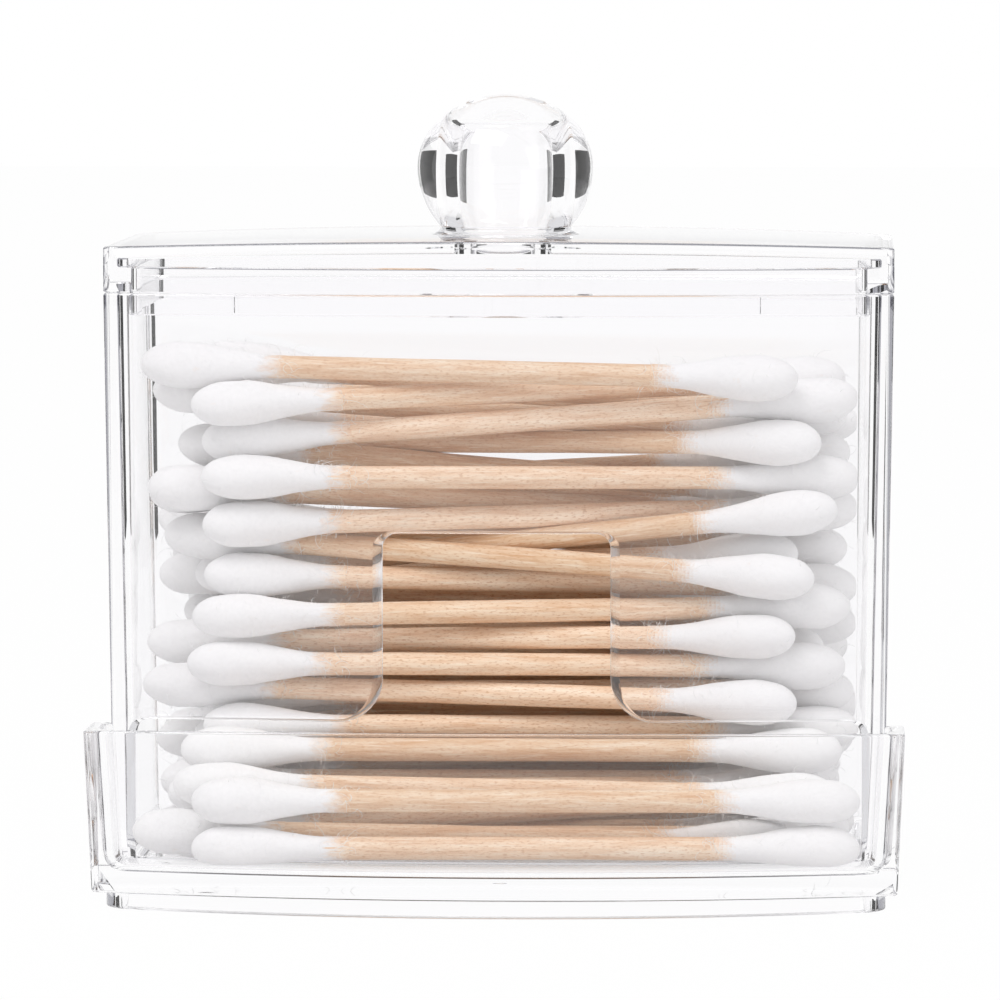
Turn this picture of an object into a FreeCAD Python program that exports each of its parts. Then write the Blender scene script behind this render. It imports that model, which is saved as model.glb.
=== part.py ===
"""Cotton swab dispenser: a clear moulded case with a flared front tray, a plug-in lid with a
hollow ball knob, and a settled pile of double-ended cotton swabs.

Frame: millimetres, +Z up, the foot ring stands on Z = 0, the tray faces -Y and the origin is
the middle of the footprint. Each sub-part is drawn about the upright axis of the box, and its
Placement carries it back so that the footprint is centred.
"""
import FreeCAD, Part
import math
import os
import random
import re

import Sketcher
from FreeCAD import Placement, Rotation, Vector

# name, value, what it is
SIZES = [
    ("swab_length", 73.5, "overall length of a swab"),
    ("swab_room", 14.5, "how much wider the box is, over its side walls, than a swab is long"),
    ("side_depth", 43.0, "depth of the box at its side walls, at the mouth"),
    ("bow", 5.0, "how far the front and back walls bow out at the middle"),
    ("draft", 1.0, "how far each wall leans in from the mouth to the base"),
    ("wall", 1.7, "wall thickness of the case and lid"),
    ("corner_radius", 3.8, "outer radius of the upright corners"),
    ("case_height", 67.8, "height of the case's rim"),
    ("foot_height", 2.0, "height of the foot ring"),
    ("floor_thickness", 2.3, "thickness of the floor"),
    ("tray_reach", 13.5, "how far the tray's lip stands ahead of the front wall"),
    ("tray_flare", 0.8, "how far the tray's walls lean out from the floor to the lip"),
    ("tray_overhang", 1.9, "how far the tray's sides stand out past the base of the box"),
    ("tray_bow", 7.0, "how far the tray's front bows out"),
    ("tray_corner", 0.8, "radius of the tray's front corners"),
    ("ear_radius", 4.0, "radius where the tray's sides turn in to the box"),
    ("ear_reach", 2.0, "how far the tray's sides run back past the box's front corner"),
    ("ear_drop", 1.2, "how far the lip falls where it meets the box"),
    ("ear_length", 6.0, "length over which the lip falls"),
    ("lip_height", 20.0, "height of the tray's lip at its corners"),
    ("lip_crown", 0.5, "how much higher the lip is at its middle"),
    ("notch_width", 25.3, "width of the finger notch"),
    ("notch_top", 41.3, "height of the top of the finger notch"),
    ("notch_radius", 1.6, "corner radius at the top of the notch"),
    ("flap_bottom", 20.2, "height of the lower edge of the front flaps"),
    ("flap_radius", 5.0, "radius of the flaps' lower inner corners"),
    ("post_width", 2.6, "width of the corner posts beside the dispensing slot"),
    ("post_radius", 1.5, "radius where the flaps meet the corner posts"),
    ("foot_bow", 8.6, "how far the foot ring's front bows out"),
    ("foot_inset", 0.5, "how far the foot ring stands in from the base"),
    ("foot_ring", 1.6, "thickness of the foot ring"),
    ("lid_side", 5.1, "height of the lid's side walls"),
    ("lid_arch", 0.8, "rise of the lid's top at the middle"),
    ("lid_plate", 1.4, "thickness of the lid's top"),
    ("lid_gap", 0.05, "seam between the case's rim and the lid"),
    ("skirt_depth", 2.5, "how far the skirt reaches into the mouth"),
    ("skirt_wall", 1.2, "thickness of the skirt"),
    ("skirt_rise", 2.8, "how far the skirt's bead rises inside the lid"),
    ("skirt_clearance", 0.4, "gap between the skirt and the case's wall"),
    ("rib_width", 0.9, "width of the skirt's centring ribs"),
    ("rib_height", 0.25, "how far the ribs stand out of the skirt"),
    ("rib_spread", 59.0, "distance between the two front ribs"),
    ("rib_pair", 3.4, "distance between the two back ribs"),
    ("rib_end", 0.4, "how far the ribs stop short of the skirt's lower edge"),
    ("knob_radius", 10.05, "largest radius of the ball knob"),
    ("knob_equator", 8.4, "height of the knob's equator above the lid's side walls"),
    ("knob_crown", 8.2, "height of the knob above its equator"),
    ("neck_radius", 7.4, "radius of the knob's neck"),
    ("neck_flare", 1.0, "how far the foot of the neck spreads"),
    ("core_radius", 5.3, "radius of the knob's core"),
    ("core_top", 14.2, "height of the top of the core above the lid's side walls"),
    ("stick_radius", 1.25, "radius of the wooden stick"),
    ("bud_radius", 2.6, "largest radius of a cotton bud"),
    ("bud_length", 15.0, "length of a cotton bud with its taper"),
    ("bud_neck", 1.5, "radius of the bud where it thins out on the stick"),
    ("swab_gap", 0.04, "clearance kept between neighbouring swabs"),
]

# width over the side walls at the mouth
BOX_WIDTH = "(swab_length + swab_room)"

document = FreeCAD.newDocument("swab_dispenser")
sheet = document.addObject("Spreadsheet::Sheet", "Sizes")
for row, (alias, number, note) in enumerate(SIZES, 1):
    sheet.set(f"A{row}", note)
    sheet.set(f"B{row}", str(number))
    sheet.setAlias(f"B{row}", alias)
document.recompute()

ALIASES = re.compile(r"\b(" + "|".join(alias for alias, _, _ in SIZES) + r")\b")


def bound(text):
    """The expression with each size's name pointed at its cell."""
    return ALIASES.sub(r"Sizes.\1", text)


def value(text):
    """The present value of an expression of sizes."""
    return float(sheet.evalExpression(bound(text)))


# ---------------------------------------------------------------- sketches


def add_sketch(body, name, role, height=None):
    """A sketch on one of the body's origin planes, lifted along its normal by an expression."""
    sketch = body.newObject("Sketcher::SketchObject", name)
    plane = next(item for item in body.Origin.OriginFeatures if item.Role == role)
    sketch.AttachmentSupport = (plane, [""])
    sketch.MapMode = "FlatFace"
    if height:
        sketch.setExpression("AttachmentOffset.Base.z", bound(height))
    return sketch


def arc_between(start, end, radius, turn):
    """The short arc from start to end: it turns left for turn = 1 and right for turn = -1."""
    chord = end - start
    left = Vector(-chord.y, chord.x) / chord.Length
    rise = math.sqrt(max(radius ** 2 - chord.Length ** 2 / 4, 0.0))
    centre = (start + end) / 2 + left * rise * turn
    first, last = (start, end) if turn > 0 else (end, start)
    angles = [math.atan2((p - centre).y, (p - centre).x) for p in (first, last)]
    if angles[1] < angles[0]:
        angles[1] += 2 * math.pi
    return Part.ArcOfCircle(Part.Circle(centre, Vector(0, 0, 1), radius), *angles)


def draw_loop(sketch, corners, arcs=None):
    """A closed loop through corners given as pairs of expressions.

    arcs maps the number of an edge, from its corner to the next, to its radius and turn.
    """
    arcs = arcs or {}
    points = [Vector(value(x), value(y)) for x, y in corners]
    first = sketch.GeometryCount
    ends = []
    for number, start in enumerate(points):
        end = points[(number + 1) % len(points)]
        radius, turn = arcs.get(number, (None, 1))
        curve = arc_between(start, end, value(radius), turn) if radius else Part.LineSegment(start, end)
        sketch.addGeometry(curve, False)
        ends.append((1, 2) if turn > 0 else (2, 1))
    for number, (x, y) in enumerate(corners):
        edge = first + number
        after = (number + 1) % len(points)
        sketch.addConstraint(Sketcher.Constraint(
            "Coincident", edge, ends[number][1], first + after, ends[after][0]))
        for kind, text, axis in (("DistanceX", x, -2), ("DistanceY", y, -1)):
            if text == "0":
                sketch.addConstraint(Sketcher.Constraint("PointOnObject", edge, ends[number][0], axis))
                continue
            index = sketch.addConstraint(Sketcher.Constraint(
                kind, -1, 1, edge, ends[number][0], value(text)))
            sketch.setExpression(f"Constraints[{index}]", bound(text))
        if number in arcs:
            radius = arcs[number][0]
            index = sketch.addConstraint(Sketcher.Constraint("Radius", edge, value(radius)))
            sketch.setExpression(f"Constraints[{index}]", bound(radius))


def bowed_outline(sketch, width, front, back, bows, radii, inset="0"):
    """A plan outline: straight sides, bowed front and back, and rounded corners.

    front and back are the depths of the sharp corners, before the inset. bows and radii give
    the front's and the back's, and the radii are those of the finished, inset outline.
    """
    half = f"(({width}) / 2 - ({inset}))"
    corners = {}
    for end, depth, bow, radius, sign in (("front", front, bows[0], radii[0], 1),
                                          ("back", back, bows[1], radii[1], -1)):
        full = f"((({width}) ^ 2 / 4 + ({bow}) ^ 2) / (2 * ({bow})))"
        curve = f"({full} - ({inset}))"
        centre = f"(({depth}) + {sign} * ({full} - ({bow})))"
        reach = f"({curve} - ({radius}))"
        drop = f"sqrt({reach} ^ 2 - ({half} - ({radius})) ^ 2)"
        side = f"{centre} - {sign} * {drop}"
        along = f"({half} - ({radius})) * {curve} / {reach}"
        deep = f"{centre} - {sign} * {drop} * {curve} / {reach}"
        corners[end] = (along, deep, side, curve, radius)
    fx, fy, fside, fcurve, fradius = corners["front"]
    bx, by, bside, bcurve, bradius = corners["back"]
    draw_loop(
        sketch,
        [(f"-({fx})", fy), (fx, fy), (half, fside), (half, bside),
         (bx, by), (f"-({bx})", by), (f"-{half}", bside), (f"-{half}", fside)],
        {0: (fcurve, 1), 1: (fradius, 1), 3: (bradius, 1),
         4: (bcurve, 1), 5: (bradius, 1), 7: (fradius, 1)},
    )


def box_outline(sketch, inset="0"):
    """The outline of the box and lid, or a line that runs inside it all the way round."""
    bowed_outline(sketch, BOX_WIDTH, "-side_depth / 2", "side_depth / 2",
                  ("bow", "bow"), [f"corner_radius - ({inset})"] * 2, inset)


def tray_outline(sketch, flare="0", inset="0"):
    """The outline of the tray, from its bowed front to the ears beside the box."""
    radii = ("tray_corner", f"ear_radius - ({inset})")
    bowed_outline(
        sketch, f"{BOX_WIDTH} - 2 * draft + 2 * tray_overhang - tray_flare + 2 * ({flare})",
        f"-(side_depth / 2 + bow + tray_reach - tray_bow - tray_flare + ({flare}))",
        "-(side_depth / 2 - draft - ear_reach)",
        ("tray_bow", "1"), radii, inset)


def add_loft(body, kind, name, sketches):
    """A ruled loft, PartDesign::AdditiveLoft or PartDesign::SubtractiveLoft."""
    loft = body.newObject(f"PartDesign::{kind}Loft", name)
    loft.Profile = sketches[0]
    loft.Sections = sketches[1:]
    loft.Ruled = True
    return loft


def add_pad(body, kind, name, sketch, length, midplane=False, upward=None):
    """A Pad or a Pocket of a sketch, its length an expression."""
    feature = body.newObject(f"PartDesign::{kind}", name)
    feature.Profile = sketch
    if midplane:
        feature.SideType = "Symmetric"
    if upward is not None:
        feature.Reversed = upward
    feature.setExpression("Length", bound(length))
    return feature


def add_turn(body, kind, name, sketch):
    """A full Revolution or Groove about the sketch's upright axis."""
    feature = body.newObject(f"PartDesign::{kind}", name)
    feature.Profile = sketch
    feature.ReferenceAxis = (sketch, ["V_Axis"])
    feature.Angle = 360.0
    return feature


def new_body(label):
    """A body that stands at the box's place in the footprint."""
    body = document.addObject("PartDesign::Body", label)
    body.Label = label
    body.setExpression("Placement.Base.y", bound("tray_reach / 2"))
    return body


# ---------------------------------------------------------------- case


def make_case():
    """Walls, floor, front tray and foot ring in one moulding."""
    body = new_body("case")
    lip_top = "lip_height + lip_crown"
    floor_top = "foot_height + floor_thickness"

    # the tray, flaring from the floor to its lip, hollowed, then trimmed to its crowned lip
    base = add_sketch(body, "tray_base", "XY_Plane", "foot_height")
    tray_outline(base)
    lip = add_sketch(body, "tray_lip", "XY_Plane", lip_top)
    tray_outline(lip, "tray_flare")
    add_loft(body, "Additive", "tray_outside", [base, lip])
    base = add_sketch(body, "tray_floor", "XY_Plane", floor_top)
    tray_outline(base, "0", "wall")
    lip = add_sketch(body, "tray_mouth", "XY_Plane", lip_top)
    tray_outline(lip, "tray_flare", "wall")
    add_loft(body, "Subtractive", "tray_inside", [base, lip])

    crown = add_sketch(body, "lip_curve", "XZ_Plane")
    half = f"{BOX_WIDTH} / 2 + tray_overhang"
    draw_loop(crown, [(f"-({half})", "lip_height"), (f"-({half})", f"{lip_top} + 1"),
                      (half, f"{lip_top} + 1"), (half, "lip_height")],
              {3: (f"(({half}) ^ 2 + lip_crown ^ 2) / (2 * lip_crown)", 1)})
    add_pad(body, "Pocket", "lip_trim", crown, "4 * side_depth", midplane=True)

    ears = add_sketch(body, "ear_curve", "YZ_Plane")
    rear = "-(side_depth / 2 - draft - ear_reach)"
    draw_loop(ears, [(f"{rear} - ear_length", lip_top), (f"{rear} - ear_length", "lip_height"),
                     (rear, "lip_height - ear_drop"), (rear, lip_top)],
              {1: ("(ear_length ^ 2 + ear_drop ^ 2) / (2 * ear_drop)", -1)})
    add_pad(body, "Pocket", "ear_trim", ears, f"2 * {BOX_WIDTH}", midplane=True)

    # the box, leaning in towards its base
    base = add_sketch(body, "box_base", "XY_Plane", "foot_height")
    box_outline(base, "draft")
    rim = add_sketch(body, "box_rim", "XY_Plane", "case_height")
    box_outline(rim)
    add_loft(body, "Additive", "box_outside", [base, rim])
    base = add_sketch(body, "box_floor", "XY_Plane", floor_top)
    box_outline(base, "draft + wall")
    rim = add_sketch(body, "box_mouth", "XY_Plane", "case_height")
    box_outline(rim, "wall")
    add_loft(body, "Subtractive", "box_inside", [base, rim])

    # the front wall: a slot at the floor between the corner posts, and the finger notch
    front = add_sketch(body, "front_cutout", "XZ_Plane", "side_depth / 2 + bow / 2")
    slot = f"({BOX_WIDTH} / 2 - draft - post_width)"
    notch = "notch_width / 2"
    right = [(slot, floor_top), (slot, "flap_bottom - post_radius"),
             (f"{slot} - post_radius", "flap_bottom"), (f"{notch} + flap_radius", "flap_bottom"),
             (notch, "flap_bottom + flap_radius"), (notch, "notch_top - notch_radius"),
             (f"{notch} - notch_radius", "notch_top")]
    left = [(f"-({x})", z) for x, z in reversed(right)]
    draw_loop(front, right + left,
              {1: ("post_radius", 1), 3: ("flap_radius", -1), 5: ("notch_radius", 1),
               7: ("notch_radius", 1), 9: ("flap_radius", -1), 11: ("post_radius", 1)})
    add_pad(body, "Pocket", "front_opening", front, "bow + 2 * wall", midplane=True)

    # the foot ring under the base
    ring = add_sketch(body, "foot_outline", "XY_Plane")
    for inset in ("0", "foot_ring"):
        bowed_outline(
            ring, f"{BOX_WIDTH} - 2 * draft - 2 * foot_inset",
            "-(side_depth / 2 + bow + tray_reach - tray_flare - foot_inset - foot_bow)",
            "side_depth / 2 - draft - foot_inset",
            ("foot_bow", "bow"), [f"corner_radius - ({inset})"] * 2, inset)
    add_pad(body, "Pad", "foot", ring, "foot_height")
    return body


# ---------------------------------------------------------------- lid


def make_lid():
    """Arched top, side walls, plug-in skirt with centring ribs, and the cored ball knob."""
    body = new_body("lid")
    seam = "case_height + lid_gap"
    edge = f"{seam} + lid_side"
    half = f"{BOX_WIDTH} / 2"
    depth = "side_depth + 4 * bow"

    block = add_sketch(body, "lid_block_profile", "XZ_Plane")
    arch = f"(({half}) ^ 2 + lid_arch ^ 2) / (2 * lid_arch)"
    draw_loop(block, [(f"-{half}", seam), (half, seam), (half, edge), (f"-{half}", edge)],
              {2: (arch, 1)})
    add_pad(body, "Pad", "lid_block", block, depth, midplane=True)

    hollow = add_sketch(body, "lid_hollow_outline", "XY_Plane", seam)
    box_outline(hollow, "wall")
    add_pad(body, "Pocket", "lid_hollow", hollow, "lid_side + 2 * lid_arch", upward=True)

    plate = add_sketch(body, "lid_plate_profile", "XZ_Plane")
    draw_loop(plate, [(f"-{half}", f"{edge} - lid_plate"), (half, f"{edge} - lid_plate"),
                      (half, edge), (f"-{half}", edge)],
              {0: (arch, -1), 2: (arch, 1)})
    add_pad(body, "Pad", "lid_plate", plate, depth, midplane=True)

    trim = add_sketch(body, "lid_outline", "XY_Plane", seam)
    box_outline(trim)
    draw_loop(trim, [(f"-{BOX_WIDTH}", f"-{BOX_WIDTH}"), (BOX_WIDTH, f"-{BOX_WIDTH}"),
                     (BOX_WIDTH, BOX_WIDTH), (f"-{BOX_WIDTH}", BOX_WIDTH)])
    add_pad(body, "Pocket", "lid_trim", trim, "lid_side + 2 * lid_arch", upward=True)

    # the skirt hangs inside the mouth, and a bead carries it on the lid's wall
    skirt_face = "wall + skirt_clearance"
    skirt = add_sketch(body, "skirt_outline", "XY_Plane", "case_height - skirt_depth")
    box_outline(skirt, skirt_face)
    box_outline(skirt, f"{skirt_face} + skirt_wall")
    add_pad(body, "Pad", "skirt", skirt, "skirt_depth + skirt_rise")
    bead = add_sketch(body, "bead_outline", "XY_Plane", seam)
    box_outline(bead, "wall / 2")
    box_outline(bead, f"{skirt_face} + skirt_wall / 2")
    add_pad(body, "Pad", "bead", bead, "skirt_rise - lid_gap")

    # centring ribs: two far apart at the front, two close together at the back
    ribs = add_sketch(body, "rib_outline", "XY_Plane", "case_height - skirt_depth + rib_end")
    radius = f"(({BOX_WIDTH} ^ 2 / 4 + bow ^ 2) / (2 * bow))"
    for sign, spread in ((-1, "rib_spread"), (1, "rib_pair")):
        for side in (-1, 1):
            inner = f"{side} * ({spread} - rib_width) / 2"
            outer = f"{side} * ({spread} + rib_width) / 2"
            sagitta = f"({radius} - sqrt({radius} ^ 2 - ({spread}) ^ 2 / 4))"
            face = f"(side_depth / 2 + bow - ({skirt_face}) - {sagitta})"
            near = f"{sign} * ({face} - skirt_wall / 2)"
            far = f"{sign} * ({face} + rib_height)"
            draw_loop(ribs, [(inner, near), (outer, near), (outer, far), (inner, far)])
    add_pad(body, "Pad", "ribs", ribs, "skirt_depth - rib_end")

    # the ball is turned in short cones, which keeps the lid's mesh light
    knob = add_sketch(body, "knob_profile", "XZ_Plane")
    equator = f"{edge} + knob_equator"
    dip = "acos(neck_radius / knob_radius)"
    lower = [(f"knob_radius * cos({dip} * {share})", f"{equator} - knob_radius * sin({dip} * {share})")
             for share in (1, 0.5)]
    upper = [(f"knob_radius * cos({turn} deg)", f"{equator} + knob_crown * sin({turn} deg)")
             for turn in (0, 18, 36, 54, 72)]
    foot = [("0", edge), ("neck_radius + neck_flare", edge),
            ("neck_radius + neck_flare", f"{edge} + lid_arch")]
    draw_loop(knob, foot + lower + upper + [("0", f"{equator} + knob_crown")])
    add_turn(body, "Revolution", "knob", knob)
    core = add_sketch(body, "core_profile", "XZ_Plane")
    draw_loop(core, [("0", f"{edge} - lid_plate"), ("core_radius", f"{edge} - lid_plate"),
                     ("core_radius", f"{edge} + core_top - core_radius / 2"),
                     ("core_radius / 2", f"{edge} + core_top"), ("0", f"{edge} + core_top")])
    add_turn(body, "Groove", "knob_core", core)
    return body


# ---------------------------------------------------------------- swabs

# Swabs placed by hand against the front wall and in the tray: height of the left and right tip
# above the floor in bud thicknesses, shift to the right as a share of the room beside a swab,
# and how many swabs stand between each tip and the front.
FRONT_SWABS = [
    (3.3, 3.5, -0.95, 1, 0), (3.2, 3.2, 0.95, 0, 1), (4.2, 4.4, 0.52, 0, 0),
    (5.0, 5.3, -0.95, 1, 0), (5.1, 5.4, 0.68, 0, 1), (5.7, 6.2, 0.95, 0, 1),
    (5.7, 7.3, 0.41, 1, 0), (6.4, 6.3, -0.38, 0, 0), (6.2, 6.6, -0.82, 2, 1),
    (7.2, 7.4, 0.93, 0, 1), (7.7, 8.5, -0.95, 1, 2), (8.4, 7.6, -0.95, 1, 1),
    (8.1, 8.1, 0.95, 0, 0), (9.0, 9.1, 0.03, 2, 0.3), (9.9, 8.6, -0.68, 1, 1),
    (8.9, 10.1, 0.90, 0.7, 0), (9.7, 10.4, 0.58, 0, 1), (10.4, 9.4, 0.58, 1.5, 2),
    (10.6, 9.3, 0.95, 3, 2),
]
TRAY_SWABS = [
    (0.6, 0.6, 0.95, 0, 0), (1.6, 1.6, 0.95, 0, 0), (0.7, 0.6, -0.95, 1, 1),
    (1.6, 1.6, 0.27, 1, 1), (2.5, 2.6, 0.41, 1, 1),
]
SWAB_COUNT = 74
SWABS_A_LAYER = 8
SIDES = 6
SLICES = 21
FALL_ROUNDS = 420
PART_ROUNDS = 500
# shares of a bud's radius: a step of the fall, and the overlap that counts as none
FALL_STEP = 0.015
LEAST_LAP = 0.008
# the share of the way back to its own tip heights that a held swab goes at each step
HOLD = 0.1


def swab_radius(along):
    """Radius of a swab at a distance from its nearer tip, and None beyond the tip."""
    if along < 0:
        return None
    shoulder = SIZE["bud_length"] / 2
    if along < shoulder:
        return SIZE["bud_radius"]
    if along > SIZE["bud_length"]:
        return SIZE["stick_radius"]
    share = (along - shoulder) / (SIZE["bud_length"] - shoulder)
    return SIZE["bud_radius"] + (SIZE["bud_neck"] - SIZE["bud_radius"]) * share


def depth_limits(x, top):
    """The least and greatest depth inside the case at x, for something whose top is so high."""
    inner = SIZE["side_depth"] / 2 + SIZE["bow"] - SIZE["wall"]
    across = (2 * x / SIZE["box_width"]) ** 2
    back = inner - SIZE["draft"] - SIZE["bow"] * across
    if top > SIZE["flap_bottom"]:
        return -back, back
    return SIZE["tray_bow"] * across - inner - SIZE["tray_reach"] + SIZE["tray_flare"], back


class Swab:
    """A straight line from a left to a right tip, each [depth, height], sliced across X.

    The swabs all lie nearly along X, so two of them are compared slice by slice. shape holds the
    radius and the share of the way along the swab for each slice that the swab reaches. A held
    swab is drawn back to its own tip heights while the others fall.
    """

    def __init__(self, left, right, shift, held=False):
        half = SIZE["swab_length"] / 2
        self.ends = [list(left), list(right)]
        self.heights = (left[1], right[1]) if held else None
        self.shift = shift
        self.shape = []
        for x in SLICE_PLACES:
            radius = swab_radius(half - abs(x - shift))
            self.shape.append(radius and (radius, (x - shift) / (2 * half) + 0.5))

    def at(self, share):
        """Depth and height of the axis at a share of the way to the right tip."""
        (y0, z0), (y1, z1) = self.ends
        return y0 + (y1 - y0) * share, z0 + (z1 - z0) * share

    def push(self, share, deep, high):
        """Move the axis at that share, turning the swab as a push off its middle would."""
        spread = (1 - share) ** 2 + share ** 2
        for end, part in zip(self.ends, ((1 - share) / spread, share / spread)):
            end[0] += deep * part
            end[1] += high * part


def sticks_meet(one, other, share, other_share):
    """Whether two swabs meet on their bare sticks at these shares of their lengths."""
    bare = 0.5 - SIZE["bud_length"] / SIZE["swab_length"]
    return abs(share - 0.5) < bare and abs(other_share - 0.5) < bare


def part_pair(one, other, lift):
    """Push two swabs apart where they overlap most; the upper one takes the share lift."""
    worst, found = 0.0, None
    for mine, its in zip(one.shape, other.shape):
        if mine and its:
            y0, z0 = one.at(mine[1])
            y1, z1 = other.at(its[1])
            apart = math.hypot(y0 - y1, z0 - z1)
            lap = mine[0] + its[0] + SIZE["swab_gap"] - apart
            if lap > worst:
                worst, found = lap, (mine[1], its[1], (y0 - y1) / apart, (z0 - z1) / apart)
    if found:
        share, other_share, deep, high = found
        if lift > 0.5 and sticks_meet(one, other, share, other_share):
            deep, high = 0.0, math.copysign(1.0, one.at(0.5)[1] - other.at(0.5)[1])
        moved = worst * (lift if high > 0 else 1 - lift)
        one.push(share, deep * moved, high * moved)
        other.push(other_share, deep * (moved - worst), high * (moved - worst))
    return worst


def contain(swab):
    """Keep a swab on the floor and between the walls."""
    floor = SIZE["foot_height"] + SIZE["floor_thickness"]
    for x, shape in zip(SLICE_PLACES, swab.shape):
        if not shape:
            continue
        radius, share = shape
        deep, high = swab.at(share)
        radius += SIZE["swab_gap"]
        near, far = depth_limits(x, high + radius)
        if high < floor + radius:
            swab.push(share, 0, floor + radius - high)
        if deep < near + radius:
            swab.push(share, min(near + radius - deep, SIZE["bud_radius"] / 4), 0)
        if deep > far - radius:
            swab.push(share, far - radius - deep, 0)


def settle(swabs):
    """Let the pile down a little at a time, then lift apart what overlaps as its weight fades."""
    near = 3.5 * SIZE["bud_radius"]
    for turn in range(FALL_ROUNDS + PART_ROUNDS):
        falling = turn < FALL_ROUNDS
        weight = min(max(1.5 - turn / FALL_ROUNDS, 0.0), 1.0)
        if turn % 6 == 0:
            pairs = [(one, other) for count, one in enumerate(swabs) for other in swabs[:count]
                     if min(math.dist(one.at(share), other.at(share))
                            for share in (0, 0.25, 0.5, 0.75, 1)) < near]
        for swab in swabs:
            if swab.heights and falling:
                for end, height in zip(swab.ends, swab.heights):
                    end[1] += HOLD * (height - end[1])
            else:
                swab.push(0.5, 0, -FALL_STEP * SIZE["bud_radius"] * weight)
        if not falling:
            pairs.sort(key=lambda pair: sum(pair[0].at(0.5)))
        worst = max(part_pair(one, other, 0.5 if falling else 0.9) for one, other in pairs)
        for swab in swabs:
            contain(swab)
        if not falling and worst < LEAST_LAP * SIZE["bud_radius"]:
            break


def pour_swabs():
    """The pile: the front and tray swabs by hand, and staggered rows behind, then settled."""
    draw = random.Random(47)
    pitch = 2 * SIZE["bud_radius"] + 2 * SIZE["swab_gap"]
    wall = -SIZE["side_depth"] / 2 + pitch / 2 - SIZE["bow"] / 2 + SIZE["wall"] + SIZE["draft"]
    tray = wall - SIZE["tray_reach"] + SIZE["tray_flare"] + SIZE["wall"] / 2
    floor = SIZE["foot_height"] + SIZE["floor_thickness"]
    room = SIZE["swab_room"] / 2 - SIZE["draft"] - SIZE["post_width"]
    swabs = []
    for front, group in ((tray, TRAY_SWABS), (wall, FRONT_SWABS)):
        for left, right, shift, left_step, right_step in group:
            swabs.append(Swab((front + left_step * pitch, floor + left * pitch),
                              (front + right_step * pitch, floor + right * pitch),
                              shift * room, held=True))
    columns = 6
    for place in range(SWAB_COUNT - len(swabs)):
        level, column = divmod(place, columns)
        tips = []
        for _ in range(2):
            depth = wall + (column + 1 + 0.35 * (level % 2)) * pitch
            height = floor + (level + 0.55) * 1.2 * pitch
            tips.append((depth + draw.uniform(-0.3, 0.3) * pitch,
                         height + draw.uniform(-0.3, 0.3) * pitch))
        swabs.append(Swab(*tips, draw.uniform(-0.95, 0.95) * room))
    settle(swabs)
    return sorted(swabs, key=lambda swab: swab.at(0.5)[1])


def ring(origin, axis, along, radius):
    """Corners of a regular polygon square to the axis, at a distance along it."""
    side = axis.cross(Vector(0, 1, 0)).normalize()
    other = axis.cross(side)
    centre = origin + axis * along
    return [centre + (side * math.cos(turn) + other * math.sin(turn)) * radius
            for turn in (2 * math.pi * k / SIDES for k in range(SIDES))]


def faceted_solid(rings):
    """A closed solid through rings of equal corner count, with flat ends."""
    faces = [Part.Face(Part.makePolygon(loop + loop[:1])) for loop in (rings[0], rings[-1])]
    for low, high in zip(rings, rings[1:]):
        for k in range(SIDES):
            after = (k + 1) % SIDES
            quad = [low[k], low[after], high[after], high[k], low[k]]
            faces.append(Part.Face(Part.makePolygon(quad)))
    solid = Part.makeSolid(Part.makeShell(faces))
    if solid.Volume < 0:
        solid.reverse()
    return solid


def swab_solids(swab):
    """The wooden stick and the two cotton buds, which meet it end to end."""
    half = SIZE["swab_length"] / 2
    left, right = (Vector(swab.shift + sign * half, *tip) for sign, tip in zip((-1, 1), swab.ends))
    middle = (left + right) / 2
    axis = (right - left).normalize()
    inside = half - SIZE["bud_length"]
    stick = faceted_solid([ring(middle, axis, along, SIZE["stick_radius"]) for along in (-inside, inside)])
    buds = []
    for way in (-1, 1):
        stations = ((half, 0.6 * SIZE["bud_radius"]),
                    (half - 0.28 * SIZE["bud_length"], SIZE["bud_radius"]),
                    (inside, SIZE["bud_neck"]))
        buds.append(faceted_solid([ring(middle, axis, way * along, radius) for along, radius in stations]))
    return stick, buds


def add_group(label, solids):
    """Like solids of one layer as one sub-part, carried to the box's place."""
    group = document.addObject("Part::Feature", label)
    group.Label = label
    group.Shape = Part.makeCompound(solids)
    group.Placement = Placement(Vector(0, value("tray_reach / 2"), 0), Rotation())
    return group


def make_swabs():
    """The settled pile, layer by layer from the floor up."""
    groups = []
    pile = pour_swabs()
    for number, start in enumerate(range(0, len(pile), SWABS_A_LAYER), 1):
        pairs = [swab_solids(swab) for swab in pile[start:start + SWABS_A_LAYER]]
        groups.append(add_group(f"layer_{number:02}_sticks", [stick for stick, _ in pairs]))
        groups.append(add_group(f"layer_{number:02}_buds", [bud for _, buds in pairs for bud in buds]))
    return groups


# ---------------------------------------------------------------- build and export

SIZE = {alias: value(alias) for alias, _, _ in SIZES}
SIZE["box_width"] = value(BOX_WIDTH)
SLICE_PLACES = [1.08 * SIZE["swab_length"] / 2 * (2 * k / (SLICES - 1) - 1) for k in range(SLICES)]

sub_parts = [make_case(), make_lid()] + make_swabs()
document.recompute()

for item in document.Objects:
    if "Invalid" in item.State or "Error" in item.State:
        raise RuntimeError(f"{item.Name} did not build: {item.State}")
for item in sub_parts:
    if item.Shape.isNull() or not item.Shape.isValid() or not item.Shape.Solids:
        raise RuntimeError(f"{item.Label} has no valid solid")

os.makedirs("parts", exist_ok=True)
for item in sub_parts:
    item.Shape.exportStep(f"parts/{item.Label}.step")
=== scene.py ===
# Looks of the cotton swab dispenser: a smooth clear case and lid, and a pile of detailed swabs
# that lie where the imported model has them. Forms are drawn in millimetres about the upright
# axis of the box and carried into the frame, in metres, when each piece is finished.
import math
import random
from functools import partial

import bmesh
import bpy
import numpy as np
from mathutils import Matrix, Vector, noise


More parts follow.
